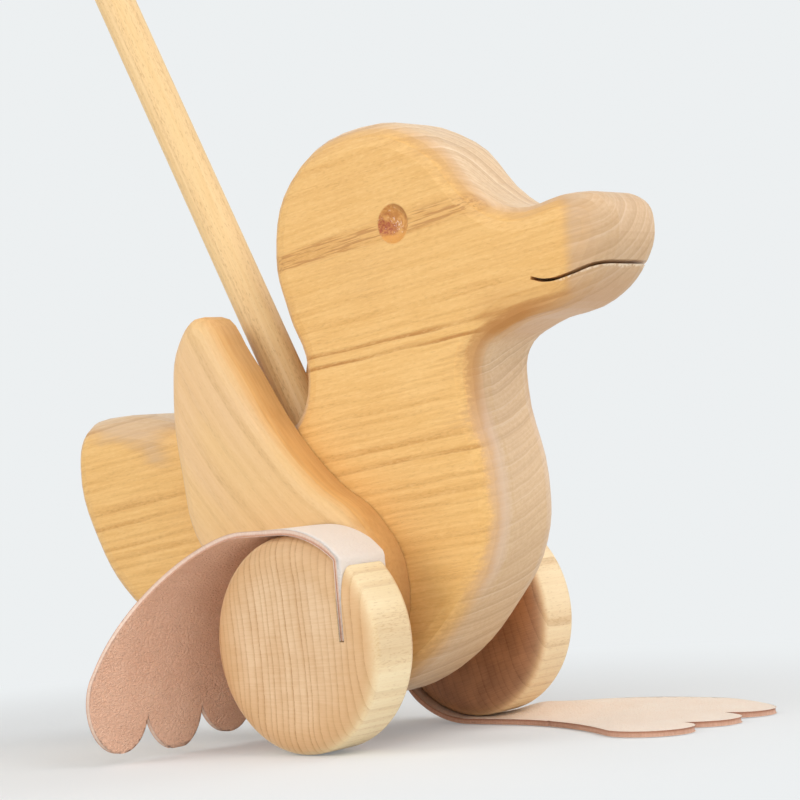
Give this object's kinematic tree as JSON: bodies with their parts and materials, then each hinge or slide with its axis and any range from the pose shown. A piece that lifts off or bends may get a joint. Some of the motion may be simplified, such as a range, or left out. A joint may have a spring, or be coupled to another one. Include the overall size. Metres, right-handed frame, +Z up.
{
  "type": "duck push toy",
  "caption": "Plank-cut wooden duck on turned wheels with leather feet that flap as they roll, pushed by a slanting stick with a ball grip.",
  "frame": {"origin": "middle of the toy's box on the floor it stands on", "axes": "+X forward to the beak, +Y to the duck's left, +Z up"},
  "size_m": [0.3406, 0.1442, 0.5231],
  "materials": {
    "honey_wood": "oiled satin",
    "tan_wood": "oiled satin",
    "pale_wood": "oiled satin",
    "rose_leather": "natural, matt"
  },
  "bodies": {
    "duck": {"duck_body": "honey_wood", "right_wing": "tan_wood", "left_wing": "tan_wood", "wing_dowel": "pale_wood", "push_stick": "pale_wood", "stick_knob": "pale_wood"},
    "wheelset": {"axle": "pale_wood", "right_wheel": "pale_wood", "left_wheel": "pale_wood", "right_foot": "rose_leather", "left_foot": "rose_leather"}
  },
  "joints": [
    {"name": "wheel_spin", "type": "hinge", "parent": "duck", "child": "wheelset", "pos_m": [0.0759, 0.00387, 0.03111], "axis": [0, 0.9996, 0.0271], "continuous": true, "deforming": ["right_foot", "left_foot"]}
  ]
}
